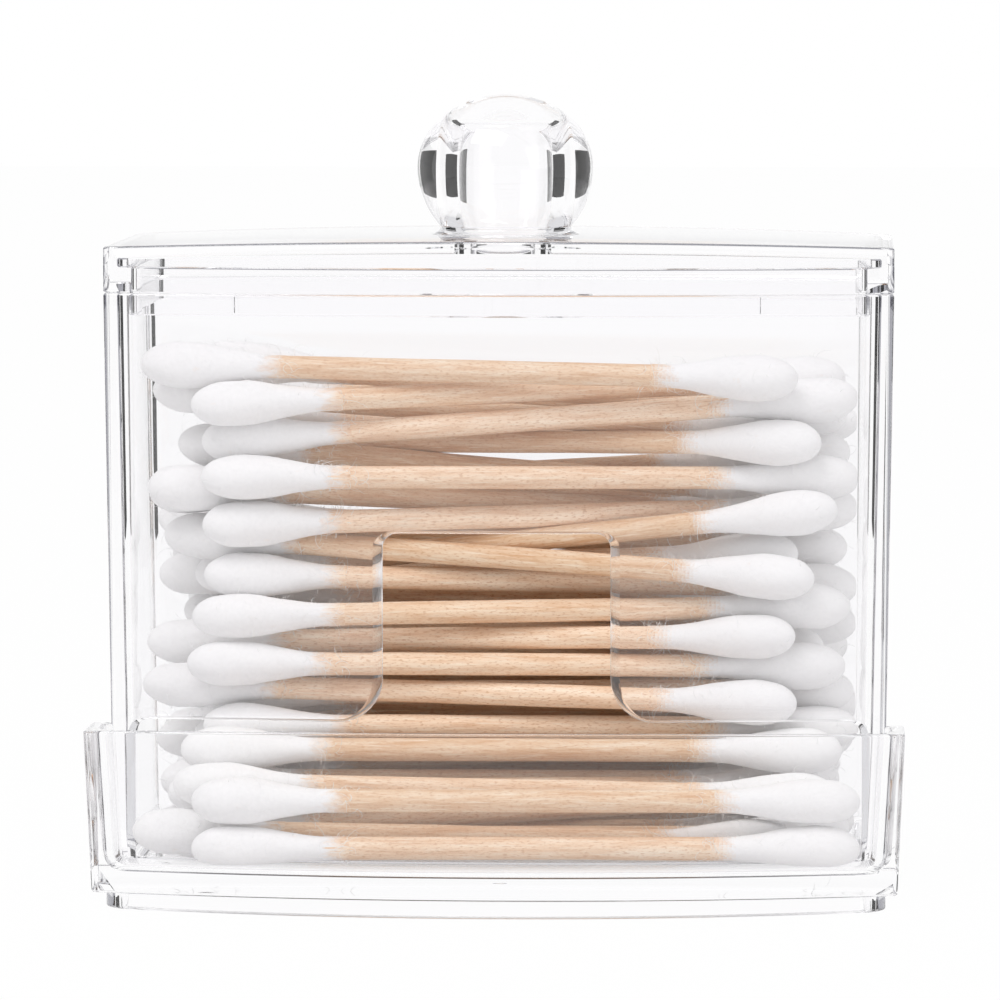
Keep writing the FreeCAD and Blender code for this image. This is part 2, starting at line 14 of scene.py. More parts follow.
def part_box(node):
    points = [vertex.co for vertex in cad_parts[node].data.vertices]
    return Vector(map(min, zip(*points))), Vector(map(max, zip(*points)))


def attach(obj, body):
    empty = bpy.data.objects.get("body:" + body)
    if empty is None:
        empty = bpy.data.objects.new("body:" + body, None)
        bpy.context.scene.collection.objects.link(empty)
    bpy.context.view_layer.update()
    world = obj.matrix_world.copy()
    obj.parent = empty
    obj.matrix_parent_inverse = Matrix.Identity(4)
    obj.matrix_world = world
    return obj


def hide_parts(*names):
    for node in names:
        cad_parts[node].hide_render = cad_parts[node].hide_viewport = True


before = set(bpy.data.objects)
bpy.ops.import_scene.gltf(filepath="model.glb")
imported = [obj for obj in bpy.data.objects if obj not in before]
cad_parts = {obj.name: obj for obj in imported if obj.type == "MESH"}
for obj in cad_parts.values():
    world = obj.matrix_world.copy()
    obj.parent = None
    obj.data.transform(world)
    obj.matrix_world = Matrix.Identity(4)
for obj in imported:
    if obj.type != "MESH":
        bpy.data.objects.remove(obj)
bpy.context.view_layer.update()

MM = 0.001
BODY, LID = "dispenser", "lid"

# ---------------------------------------------------------------- sizes, in millimetres

case_low, case_high = (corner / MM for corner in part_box("case"))
lid_low, lid_high = (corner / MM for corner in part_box("lid"))

# box: its walls lean in by DRAFT towards the foot, and its upright axis stands at AXIS_Y
BOX_WIDTH = lid_high.x - lid_low.x
CASE_HEIGHT = case_high.z
BOW = 5.0
SIDE_DEPTH = lid_high.y - lid_low.y - 2 * BOW
AXIS_Y = (lid_high.y + lid_low.y) / 2
DRAFT = 1.0
WALL = 1.7
OUTER_CORNER = 1.1
LEAST_CORNER = 0.2
INNER_CORNER = 3.2
EDGE_ROUND = 0.3
FLOOR_FILLET = 1.9
# cutters reach this far past a rim
CUT_PAST = 3.0

# foot ring, which starts FOOT_SINK inside the base, the floor above it, and the mark of the
# mould's gate
FOOT_HEIGHT = 2.0
FOOT_CORNER = 3.8
FOOT_BOW = 8.6
FOOT_INSET = 0.5
FOOT_SIDE_INSET = -0.2
FOOT_RING = 1.6
FOOT_SINK = 0.6
FLOOR_TOP = FOOT_HEIGHT + 2.3
GATE_RADIUS = 0.75
GATE_HEIGHT = 0.6

# tray
TRAY_REACH = lid_low.y - case_low.y
TRAY_FLARE = 0.8
TRAY_OVERHANG = 1.9
TRAY_BOW = 7.0
TRAY_BACK_BOW = 1.0
TRAY_CORNER = 0.8
TRAY_INNER_CORNER = 3.0
EAR_RADIUS = 4.0
EAR_REACH = 2.0
EAR_DROP = 0.7
EAR_LENGTH = 6.0
LIP_HEIGHT = 20.0
LIP_CROWN = 0.5

# opening in the front wall
NOTCH_WIDTH = 25.3
NOTCH_TOP = 41.3
NOTCH_RADIUS = 1.6
FLAP_BOTTOM = 20.2
FLAP_RADIUS = 5.0
POST_WIDTH = 2.6
POST_RADIUS = 1.5
OPENING_SPACING = 1.5
# (outward, deep) from the bare edge of the flaps: a wide, bulging slant in front, a small curve behind
FLAP_FRONT = [(1.3, -2.0), (1.3, 0.0), (1.2, 0.03), (1.05, 0.10), (0.82, 0.24),
              (0.56, 0.46), (0.32, 0.72), (0.12, 1.0), (0.04, 1.14), (0.0, 1.3)]
FLAP_BACK = [(0.32, -2.0), (0.32, 0.0), (0.16, 0.04), (0.04, 0.16), (0.0, 0.32)]
# level edges have this share of the slant that upright edges have
LEVEL_SLANT = 0.3

# lid, its skirt and its ribs
SEAM = CASE_HEIGHT + 0.05
LID_SIDE = 5.1
LID_ARCH = 0.8
LID_PLATE = 1.4
LID_FINE_ROUND = 0.15
SKIRT_DEPTH = 2.5
SKIRT_FACE = WALL + 0.4
SKIRT_WALL = 1.2
SKIRT_RISE = 2.8
RIB_WIDTH = 0.9
RIB_HEIGHT = 0.25
RIB_SPREAD = 59.0
RIB_PAIR = 3.4
RIB_SHIFT = 0.8
RIB_END = 0.4
# a rib's section, in shares of its width and height
RIB_SHAPE = [(-0.5, -1.0), (-0.5, 0.7), (-0.4, 1.0), (0.4, 1.0), (0.5, 0.7), (0.5, -1.0)]

# knob and its hollow core
KNOB_RADIUS = 10.05
KNOB_EQUATOR = 8.4
KNOB_CROWN = 8.2
PARTING_LINE = 0.04
NECK_RADIUS = 7.4
NECK_FLARE = 1.0
CORE_RADIUS = 5.3
CORE_TOP = 14.2
CORE_DOME = 1.5
CORE_BEND = 1.1

# sticks, whose ends stay hidden in the buds
STICK_RADIUS = 1.28
STICK_LUMPS, STICK_DRIFT, STICK_ROUGHNESS = 0.035, 0.05, 0.03
STICK_HIDDEN = 6.0
STICK_STEPS = 20

# buds: lengths run from a bud's tip. BUD_LENGTH reaches to the end of the solid stick, and the
# cotton ends COTTON_END thick, with its last THIN_END thinning out
BUD_RADIUS = 2.6
BUD_LENGTH = 15.0
COTTON_LENGTH, COTTON_SPREAD = 16.6, 0.8
COTTON_END = 0.03
BLUNT_LENGTH, BLUNTNESS = 4.8, 2.3
TAPER_END = 14.9
THIN_END = 3.6
PLUMPNESS = (0.92, 1.03)
BUD_LUMPS = 0.11
BUD_STEPS = 28
TIP_STATIONS = [0.02, 0.12, 0.3, 0.55, 0.9, 1.3, 1.8, 2.4, 3.1, 3.9]

# loose fibres: every third is a stray, near the end of the cotton
FIBRES = 126
FIBRE_STEPS = 6
FIBRE_WIDTHS = (0.021, 0.038)
FIBRE_LEAST, FIBRE_LONGEST = 0.35, 3.2
STRAY_EVERY = 3

# ---------------------------------------------------------------- stage, in metres and degrees

FLOOR_REACH = 3.0
FLOOR_WHITENESS = 0.975
AMBIENT = 0.68
# name, place, size and power in watts
LIGHTS = (("key_light", (-0.25, -0.40, 0.80), (0.6, 0.4), 2.9),
          ("fill_light", (0.6, -0.5, 0.35), (0.5, 0.6), 0.9))
CARD_AZIMUTH, CARD_SPREAD = 51, 38
CARD_REACH = 0.36
CARD_LOW, CARD_HIGH = 0.012, 0.19
CARD_GLOW = 0.03
CAMERA_PLACE = (0.0385, -0.8944, 0.1058)
CAMERA_TILT, CAMERA_TURN = 3.96, 2.489
CAMERA_LENS, SENSOR = 285.7, 36.0

# ---------------------------------------------------------------- plan outlines

BOW_STEPS = 64
CORNER_STEPS = 18
SIDE_STEPS = 24


def bowed_outline(width, front, back, bows, radii, inset=0.0, side_steps=0):
    """Plan points, anticlockwise from the front left: bowed front and back, straight sides."""
    half = width / 2 - inset
    chains = []
    for depth, bow, radius, sign in ((front, bows[0], radii[0], 1), (back, bows[1], radii[1], -1)):
        full = (width ** 2 / 4 + bow ** 2) / (2 * bow)
        curve = full - inset
        centre = depth + sign * (full - bow)
        drop = math.sqrt((curve - radius) ** 2 - (half - radius) ** 2)
        lean = math.atan2(half - radius, drop)
        arc = [(curve * math.sin(turn), centre - sign * curve * math.cos(turn))
               for turn in np.linspace(-lean, lean, BOW_STEPS + 1)]
        right = [(half - radius + radius * math.sin(turn),
                  centre - sign * drop - sign * radius * math.cos(turn))
                 for turn in np.linspace(lean, math.pi / 2, CORNER_STEPS + 1)[1:]]
        left = [(-x, y) for x, y in reversed(right)]
        chains.append((left + arc + right)[::sign])
    points = []
    for chain, after in (chains, chains[::-1]):
        points += chain
        steps = np.linspace(0, 1, side_steps + 2)[1:-1]
        (x, start), end = chain[-1], after[0][1]
        points += [(x, start + (end - start) * step) for step in steps]
    return np.array(points)


def box_outline(inset=0.0, inner=False):
    """The box's plan: nearly sharp outside, well rounded inside."""
    radius = INNER_CORNER + WALL - inset if inner else max(OUTER_CORNER - inset, LEAST_CORNER)
    return bowed_outline(BOX_WIDTH, -SIDE_DEPTH / 2, SIDE_DEPTH / 2, (BOW, BOW), [radius] * 2, inset)


def tray_outline(flare=0.0, inset=0.0):
    """The tray's plan: it runs under the box, and ends in rounded ears beside it."""
    width = BOX_WIDTH - 2 * DRAFT + 2 * TRAY_OVERHANG - TRAY_FLARE + 2 * flare
    front = -(SIDE_DEPTH / 2 + BOW + TRAY_REACH - TRAY_BOW - TRAY_FLARE + flare)
    back = -(SIDE_DEPTH / 2 - DRAFT - EAR_REACH)
    front_radius = TRAY_CORNER - inset if inset < WALL / 2 else TRAY_INNER_CORNER + WALL - inset
    radii = (front_radius, EAR_RADIUS - inset)
    return bowed_outline(width, front, back, (TRAY_BOW, TRAY_BACK_BOW), radii, inset, SIDE_STEPS)


def foot_outline(inset=0.0):
    """The foot ring's plan."""
    front = -(SIDE_DEPTH / 2 + BOW + TRAY_REACH - TRAY_FLARE - FOOT_INSET - FOOT_BOW)
    back = SIDE_DEPTH / 2 - DRAFT - FOOT_INSET
    width = BOX_WIDTH - 2 * DRAFT - 2 * FOOT_SIDE_INSET
    return bowed_outline(width, front, back, (FOOT_BOW, BOW), [FOOT_CORNER - inset] * 2, inset)


def at_height(outline, height):
    """The outline as 3-D points; height is a number or one number for each point."""
    return np.column_stack([outline, np.broadcast_to(height, len(outline))])


# ---------------------------------------------------------------- meshes and joining


def new_object(name, points, faces):
    """An object from points in millimetres and faces, its normals made to point outwards."""
    mesh = bpy.data.meshes.new(name)
    mesh.from_pydata([tuple(point) for point in points], [], faces)
    work = bmesh.new()
    work.from_mesh(mesh)
    bmesh.ops.recalc_face_normals(work, faces=work.faces)
    work.to_mesh(mesh)
    work.free()
    thing = bpy.data.objects.new(name, mesh)
    bpy.context.scene.collection.objects.link(thing)
    return thing


def loft(name, rings, arched=False, closed=False):
    """A solid through rings of equal length. Its ends are flat, or strips where arched;
    a closed loft runs from the last ring back to the first."""
    count = len(rings[0])
    points = np.concatenate(rings)
    faces = []
    pairs = list(zip(range(len(rings)), range(1, len(rings)))) + [(len(rings) - 1, 0)] * closed
    for low, high in pairs:
        for k in range(count):
            after = (k + 1) % count
            faces.append((low * count + k, low * count + after, high * count + after, high * count + k))
    if not closed:
        for first in (0, (len(rings) - 1) * count):
            if arched:
                half = count // 2
                faces += [(first + k, first + k + 1, first + count - 2 - k, first + count - 1 - k)
                          for k in range(half - 1)]
            else:
                faces.append(tuple(range(first, first + count)))
    return new_object(name, points, faces)


def turned(name, profile, steps=96, seam=0.0):
    """A solid of revolution about Z through (radius, height) points that start and end at 0,
    with the mould's parting line, if any, standing out by seam in front and behind."""
    rings = profile[1:-1]
    points = [((radius + seam * (k % (steps // 2) == steps // 4)) * math.cos(turn),
               (radius + seam * (k % (steps // 2) == steps // 4)) * math.sin(turn), height)
              for radius, height in rings
              for k, turn in enumerate(np.linspace(0, 2 * math.pi, steps, endpoint=False))]
    faces = []
    for low in range(len(rings) - 1):
        for k in range(steps):
            after = (k + 1) % steps
            faces.append((low * steps + k, low * steps + after,
                          (low + 1) * steps + after, (low + 1) * steps + k))
    for ring, tip in ((0, profile[0]), (len(rings) - 1, profile[-1])):
        points.append((0.0, 0.0, tip[1]))
        faces += [(ring * steps + k, ring * steps + (k + 1) % steps, len(points) - 1)
                  for k in range(steps)]
    return new_object(name, points, faces)


def applied(thing):
    """The thing's mesh with its modifiers carried out."""
    shaped = thing.evaluated_get(bpy.context.evaluated_depsgraph_get())
    mesh = bpy.data.meshes.new_from_object(shaped)
    thing.modifiers.clear()
    return mesh


def combine(thing, other, operation):
    """Join or cut thing by other, which is used up."""
    step = thing.modifiers.new("combine", "BOOLEAN")
    step.operation = operation
    step.solver = "EXACT"
    step.object = other
    thing.data = applied(thing)
    bpy.data.objects.remove(other)


def finish_piece(thing, body, material, sharp=35.0, weighted=False):
    """Carry a piece drawn in millimetres into the frame, shade it and let it ride. Weighted
    shading keeps large walls flat beside their rounded edges."""
    thing.data.transform(Matrix.Scale(MM, 4) @ Matrix.Translation((0, AXIS_Y, 0)))
    thing.data.polygons.foreach_set("use_smooth", [True] * len(thing.data.polygons))
    thing.data.set_sharp_from_angle(angle=math.radians(sharp))
    if weighted:
        step = thing.modifiers.new("weighted", "WEIGHTED_NORMAL")
        step.mode, step.weight, step.keep_sharp = "FACE_AREA", 90, True
        thing.data = applied(thing)
    thing.data.materials.clear()
    thing.data.materials.append(material)
    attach(thing, body)


def rounding(steps=3):
    """(inward, downward) shares of a rounded edge, from the side to the top."""
    turns = np.linspace(0, math.pi / 2, steps + 1)
    return [(1 - math.cos(turn), 1 - math.sin(turn)) for turn in turns]


def rounded_edge(outline_at, inset, height, way, up, radius=EDGE_ROUND, steps=3):
    """Rings of a rounded edge, from the wall to the level face. outline_at(inset) gives outlines.
    way is 1 on an outer wall and -1 at the rim of an inner one, and up is 1 at a top edge, else -1."""
    return [at_height(outline_at(inset + way * radius * inward), height - up * radius * downward)
            for inward, downward in rounding(steps)]


# ---------------------------------------------------------------- case


def box_lean(height):
    """How far the box's walls stand in at a height."""
    return DRAFT * (CASE_HEIGHT - height) / (CASE_HEIGHT - FOOT_HEIGHT)


def tray_lean(height):
    """How far the tray's walls stand out at a height."""
    return TRAY_FLARE * (height - FOOT_HEIGHT) / (LIP_HEIGHT + LIP_CROWN - FOOT_HEIGHT)


def lip_level(outline):
    """Height of the tray's lip over each point: crowned across, and falling at the ears."""
    half = BOX_WIDTH / 2 + TRAY_OVERHANG
    crown = LIP_CROWN * (1 - (outline[:, 0] / half) ** 2)
    rear = -(SIDE_DEPTH / 2 - DRAFT - EAR_REACH)
    share = np.clip((outline[:, 1] - rear + EAR_LENGTH) / EAR_LENGTH, 0, 1)
    return LIP_HEIGHT + crown - EAR_DROP * share ** 2


def make_tray():
    """The tray's shell with its rounded, crowned lip."""
    low_outline = partial(tray_outline, 0)
    lip_outline = partial(tray_outline, tray_lean(LIP_HEIGHT))
    level = lip_level(tray_outline(TRAY_FLARE))
    rings = rounded_edge(low_outline, 0, FOOT_HEIGHT, 1, -1)[::-1]
    rings += rounded_edge(lip_outline, 0, level, 1, 1)
    tray = loft("case_smooth", rings)
    rings = rounded_edge(low_outline, WALL, FLOOR_TOP, 1, -1, FLOOR_FILLET, 5)[::-1]
    rings += rounded_edge(lip_outline, WALL, level, -1, 1)
    rings.append(at_height(lip_outline(WALL - EDGE_ROUND), LIP_HEIGHT + CUT_PAST))
    combine(tray, loft("tray_inside", rings), "DIFFERENCE")
    return tray


def front_profile():
    """Half of the front wall's opening, right of the middle, as (x, height) from the floor up."""
    slot = BOX_WIDTH / 2 - DRAFT - POST_WIDTH
    notch = NOTCH_WIDTH / 2

    def bend(x, height, radius, first, last):
        return [(x + radius * math.cos(turn), height + radius * math.sin(turn))
                for turn in np.linspace(math.radians(first), math.radians(last), 9)]

    points = [(slot, FLOOR_TOP)]
    points += bend(slot - POST_RADIUS, FLAP_BOTTOM - POST_RADIUS, POST_RADIUS, 0, 90)
    points += bend(notch + FLAP_RADIUS, FLAP_BOTTOM + FLAP_RADIUS, FLAP_RADIUS, 270, 180)
    points += bend(notch - NOTCH_RADIUS, NOTCH_TOP - NOTCH_RADIUS, NOTCH_RADIUS, 0, 90)
    return points


def front_face(x, height):
    """Depth of the front wall's outer face at a place across and up the wall."""
    full = (BOX_WIDTH ** 2 / 4 + BOW ** 2) / (2 * BOW)
    sagitta = full - math.sqrt(full ** 2 - x ** 2)
    return -(SIDE_DEPTH / 2 + BOW - sagitta) + box_lean(height)


def front_cutter():
    """The opening in the front wall, widened in a curve at both faces to round its edges."""
    right = front_profile()
    outline = right + [(-x, height) for x, height in reversed(right)]
    dense = []
    for (x, height), (after, above) in zip(outline, outline[1:] + outline[:1]):
        steps = max(int(math.dist((x, height), (after, above)) / OPENING_SPACING), 1)
        dense += [(x + (after - x) * k / steps, height + (above - height) * k / steps)
                  for k in range(steps)]
    outline = np.array(dense)
    along = np.roll(outline, -1, axis=0) - np.roll(outline, 1, axis=0)
    along /= np.linalg.norm(along, axis=1)[:, None]
    outward = np.column_stack([along[:, 1], -along[:, 0]])
    outward[:, 1] *= LEVEL_SLANT
    depth = np.array([front_face(x, height) for x, height in outline])
    rings = []
    for side, sign, chain in ((depth, 1, FLAP_FRONT), (depth + WALL, -1, FLAP_BACK)):
        group = []
        for wide, deep in chain:
            flat = outline + outward * wide
            group.append(np.column_stack([flat[:, 0], side + sign * deep, flat[:, 1]]))
        rings += group[::sign]
    return loft("front_opening", rings)


def make_case():
    """Walls, floor, tray and foot ring in one clear moulding, with the gate's mark beneath."""
    case = make_tray()
    inner_outline = partial(box_outline, inner=True)
    rings = rounded_edge(box_outline, DRAFT, FOOT_HEIGHT, 1, -1)[::-1]
    rings += rounded_edge(box_outline, 0, CASE_HEIGHT, 1, 1)
    combine(case, loft("box_outside", rings), "UNION")
    rings = rounded_edge(inner_outline, DRAFT + WALL, FLOOR_TOP, 1, -1, FLOOR_FILLET, 5)[::-1]
    rings += rounded_edge(inner_outline, WALL, CASE_HEIGHT, -1, 1)
    rings.append(at_height(inner_outline(WALL - EDGE_ROUND), CASE_HEIGHT + CUT_PAST))
    combine(case, loft("box_inside", rings), "DIFFERENCE")

    combine(case, front_cutter(), "DIFFERENCE")

    sunk = FOOT_HEIGHT + FOOT_SINK
    rings = [at_height(foot_outline(), sunk)]
    rings += rounded_edge(foot_outline, 0, 0, 1, -1)
    rings += rounded_edge(foot_outline, FOOT_RING, 0, -1, -1)[::-1]
    rings.append(at_height(foot_outline(FOOT_RING), sunk))
    combine(case, loft("foot", rings, closed=True), "UNION")

    low = FOOT_HEIGHT - GATE_HEIGHT
    tip = [(0.0, low), (0.4 * GATE_RADIUS, low), (0.8 * GATE_RADIUS, low + 0.4 * GATE_HEIGHT)]
    gate = turned("gate", tip + [(GATE_RADIUS, FOOT_HEIGHT), (GATE_RADIUS, sunk), (0.0, sunk)], 32)
    gate.data.transform(Matrix.Translation((0, -AXIS_Y, 0)))
    combine(case, gate, "UNION")
    return case


# ---------------------------------------------------------------- lid


def arch(outline):
    """Rise of the lid's top over each point."""
    return LID_ARCH * (1 - (2 * outline[:, 0] / BOX_WIDTH) ** 2)


def make_ribs():
    """Four low upright ribs on the front of the skirt: two far apart, two close together."""
    full = (BOX_WIDTH ** 2 / 4 + BOW ** 2) / (2 * BOW)
    low, high = CASE_HEIGHT - SKIRT_DEPTH + RIB_END, CASE_HEIGHT
    corners = len(RIB_SHAPE)
    points, faces = [], []
    for offset, spread in ((0.0, RIB_SPREAD), (RIB_SHIFT, RIB_PAIR)):
        for side in (-1, 1):
            centre = offset + side * spread / 2
            face = SIDE_DEPTH / 2 + BOW - SKIRT_FACE - (full - math.sqrt(full ** 2 - centre ** 2))
            base = len(points)
            for height in (low, high):
                points += [(centre + RIB_WIDTH * x, -face - RIB_HEIGHT * out, height)
                           for x, out in RIB_SHAPE]
            above = base + corners
            faces += [tuple(range(base, above)), tuple(range(above, above + corners))]
            faces += [(base + k, base + (k + 1) % corners, above + (k + 1) % corners, above + k)
                      for k in range(corners)]
    return new_object("ribs", points, faces)


def make_lid():
    """Arched top, side walls, skirt and knob in one clear moulding."""
    top = SEAM + LID_SIDE
    under = top - LID_PLATE
    skirt_bottom = CASE_HEIGHT - SKIRT_DEPTH
    skirt_inside = SKIRT_FACE + SKIRT_WALL
    skirt_top = CASE_HEIGHT + SKIRT_RISE
    fine = LID_FINE_ROUND

    def ring(inset, height, arched=False):
        outline = box_outline(inset, inset > WALL / 2)
        return at_height(outline, height + arch(outline) if arched else height)

    rings = [ring(EDGE_ROUND * inward, top - EDGE_ROUND * downward, True)
             for inward, downward in rounding()[::-1]]
    rings += [ring(0, SEAM + fine), ring(fine, SEAM)]
    rings += [ring(SKIRT_FACE - fine, SEAM), ring(SKIRT_FACE, SEAM - fine)]
    rings += [ring(SKIRT_FACE, skirt_bottom + fine), ring(SKIRT_FACE + fine, skirt_bottom)]
    rings += [ring(skirt_inside - fine, skirt_bottom), ring(skirt_inside, skirt_bottom + fine)]
    rings += [ring(skirt_inside, skirt_top - fine), ring(skirt_inside - fine, skirt_top)]
    rings += [ring(WALL + fine, skirt_top), ring(WALL, skirt_top + fine)]
    rings += [ring(WALL, under - fine, True), ring(WALL + fine, under, True)]
    lid = loft("lid_smooth", rings, arched=True)
    combine(lid, make_ribs(), "UNION")

    dip = math.acos(NECK_RADIUS / KNOB_RADIUS)
    equator = top + KNOB_EQUATOR
    profile = [(0.0, top - LID_PLATE / 2), (NECK_RADIUS + NECK_FLARE, top - LID_PLATE / 2)]
    foot = top + LID_ARCH
    profile += [(NECK_RADIUS + NECK_FLARE * (1 - math.sin(turn)),
                 foot + NECK_FLARE * (1 - math.cos(turn)))
                for turn in np.linspace(0, math.pi / 2, 7)]
    profile += [(KNOB_RADIUS * math.cos(turn), equator + KNOB_RADIUS * math.sin(turn))
                for turn in np.linspace(-dip, 0, 16)]
    profile += [(KNOB_RADIUS * math.cos(turn), equator + KNOB_CROWN * math.sin(turn))
                for turn in np.linspace(0, math.pi / 2, 28)[1:]]
    profile[-1] = (0.0, equator + KNOB_CROWN)
    combine(lid, turned("knob", profile, seam=PARTING_LINE), "UNION")

    bend, crown = CORE_BEND, top + CORE_TOP
    profile = [(0.0, under - 2), (CORE_RADIUS, under - 2)]
    shoulder = crown - CORE_DOME - bend
    profile += [(CORE_RADIUS - bend + bend * math.cos(turn), shoulder + bend * math.sin(turn))
                for turn in np.linspace(0, math.radians(70), 8)]
    edge, rise = profile[-1]
    profile += [(edge * (1 - share), rise + (crown - rise) * (1 - (1 - share) ** 2))
                for share in np.linspace(0, 1, 16)[1:]]
    combine(lid, turned("knob_core", profile, 64), "DIFFERENCE")
    return lid


# ---------------------------------------------------------------- swabs


def stick_lines(node):
    """The ends of each stick of a layer, in millimetres, from the loose parts of its node."""
    work = bmesh.new()
    work.from_mesh(node.data)
    bmesh.ops.remove_doubles(work, verts=work.verts, dist=1e-6)
    left = set(work.verts)
    lines = []
    while left:
        part, edge = set(), [min(left, key=lambda vert: vert.index)]
        while edge:
            vert = edge.pop()
            if vert in part:
                continue
            part.add(vert)
            edge += [other.other_vert(vert) for other in vert.link_edges]
        left -= part
        places = sorted((vert.co / MM for vert in part), key=lambda place: place.x)
        half = len(places) // 2
        lines.append([sum(group, Vector()) / half for group in (places[:half], places[half:])])
    work.free()
    return lines


def bud_radius(along):
    """Radius of a bud at a distance from its tip: a blunt tip, then a soft taper to the stick."""
    if along < BLUNT_LENGTH:
        return BUD_RADIUS * (1 - (1 - along / BLUNT_LENGTH) ** BLUNTNESS) ** 0.5
    thinnest = STICK_RADIUS + COTTON_END
    share = min(max((TAPER_END - along) / (TAPER_END - BLUNT_LENGTH), 0.0), 1.0)
    return thinnest + (BUD_RADIUS - thinnest) * share * share * (3 - 2 * share)


class Strips:
    """Gathers the points, faces and texture places of many like parts into one mesh."""

    def __init__(self):
        self.points, self.faces, self.places, self.tints, self.thins = [], [], [], [], []

    def tube(self, rings, alongs, tint, offset, thins=None):
        """A tube through rings of points; alongs are the lengths for the texture, and thins say
        how thin the cotton is at each ring."""
        thins = thins or [0.0] * len(rings)
        start, count = len(self.points), len(rings[0])
        for ring in rings:
            self.points += ring
        for low in range(len(rings) - 1):
            for k in range(count):
                after = (k + 1) % count
                base = start + low * count
                self.faces.append((base + k, base + after, base + count + after, base + count + k))
                near, far = alongs[low], alongs[low + 1]
                first, last = k / count, (k + 1) / count
                self.places += [(near, first + offset), (near, last + offset),
                                (far, last + offset), (far, first + offset)]
                self.tints += [tint] * 4
                self.thins += [thins[low]] * 2 + [thins[low + 1]] * 2
        for low in (0, len(rings) - 1):
            base = start + low * count
            self.faces.append(tuple(range(base, base + count)))
            self.places += [(alongs[low], offset)] * count
            self.tints += [tint] * count
            self.thins += [thins[low]] * count

    def make(self, name):
        """The object, with its texture places and the two values that the materials read."""
        thing = new_object(name, self.points, self.faces)
        layer = thing.data.uv_layers.new(name="along")
        layer.data.foreach_set("uv", [number for place in self.places for number in place])
        for label, values in (("tint", self.tints), ("thin", self.thins)):
            thing.data.attributes.new(label, "FLOAT", "CORNER").data.foreach_set("value", values)
        return thing


def swab_frame(line, roll):
    """Centre, axis and two square directions of a swab from its stick's ends."""
    left, right = line
    axis = (right - left).normalized()
    side = axis.cross(Vector((0, 0, 1))).normalized()
    side = Matrix.Rotation(roll, 3, axis) @ side
    return (left + right) / 2, axis, side, axis.cross(side)


def round_ring(centre, side, other, radius, steps, bumps):
    """A ring of points; bumps(k) adds to the radius at each."""
    return [centre + (side * math.cos(turn) + other * math.sin(turn)) * (radius + bumps(k))
            for k, turn in enumerate(np.linspace(0, 2 * math.pi, steps, endpoint=False))]


def add_swab(line, draw, sticks, buds, fuzz):
    """One swab's stick, its two buds and their loose fibres."""
    centre, axis, side, other = swab_frame(line, draw.uniform(0, 6.28))
    inside = (line[1] - line[0]).length / 2
    half = inside + BUD_LENGTH
    tint, offset = draw.random(), draw.uniform(0, 900)
    seed = Vector((offset, draw.uniform(0, 900), 0))
    rings, alongs = [], []
    for along in np.linspace(-half + STICK_HIDDEN, half - STICK_HIDDEN, 33):
        lump = noise.noise(seed + Vector((along * 0.12, 0, 3)))
        drift = side * STICK_DRIFT * noise.noise(seed + Vector((along * 0.05, 0, 7)))

        def roughness(k, along=along):
            return STICK_ROUGHNESS * noise.noise(seed + Vector((along * 0.1, k * 0.9, 0)))

        rings.append(round_ring(centre + axis * along + drift, side, other,
                                STICK_RADIUS * (1 + STICK_LUMPS * lump), STICK_STEPS, roughness))
        alongs.append(along)
    sticks.tube(rings, alongs, tint, offset)

    for way in (-1, 1):
        plump = draw.uniform(*PLUMPNESS)
        length = COTTON_LENGTH + draw.uniform(-COTTON_SPREAD, COTTON_SPREAD)
        bud_seed = seed + Vector((way * 50, 20, 0))
        rings, alongs = [], []
        for along in TIP_STATIONS + list(np.linspace(BLUNT_LENGTH, length, 26)):
            swell = bud_radius(along)
            if along > BLUNT_LENGTH:
                swell = STICK_RADIUS + (swell - STICK_RADIUS) * plump
            else:
                swell *= (STICK_RADIUS + (BUD_RADIUS - STICK_RADIUS) * plump) / BUD_RADIUS
            lump = BUD_LUMPS * min(along / 3, 1.0) * max(0.15, 1 - along / 17)
            place = centre + axis * way * (half - along)

            def bumps(k, along=along, lump=lump):
                turn = 2 * math.pi * k / BUD_STEPS
                spot = Vector((along * 0.35, math.cos(turn) * 1.1, math.sin(turn) * 1.1))
                return lump * 2 * noise.noise(bud_seed + spot)

            rings.append(round_ring(place, side, other, swell, BUD_STEPS, bumps))
            alongs.append(along)
        thins = [min(max((along - length + THIN_END) / THIN_END, 0), 1) for along in alongs]
        buds.tube(rings, alongs, tint, offset, thins)
        add_fuzz(centre + axis * way * half, -axis * way, side, other, length, draw, fuzz)


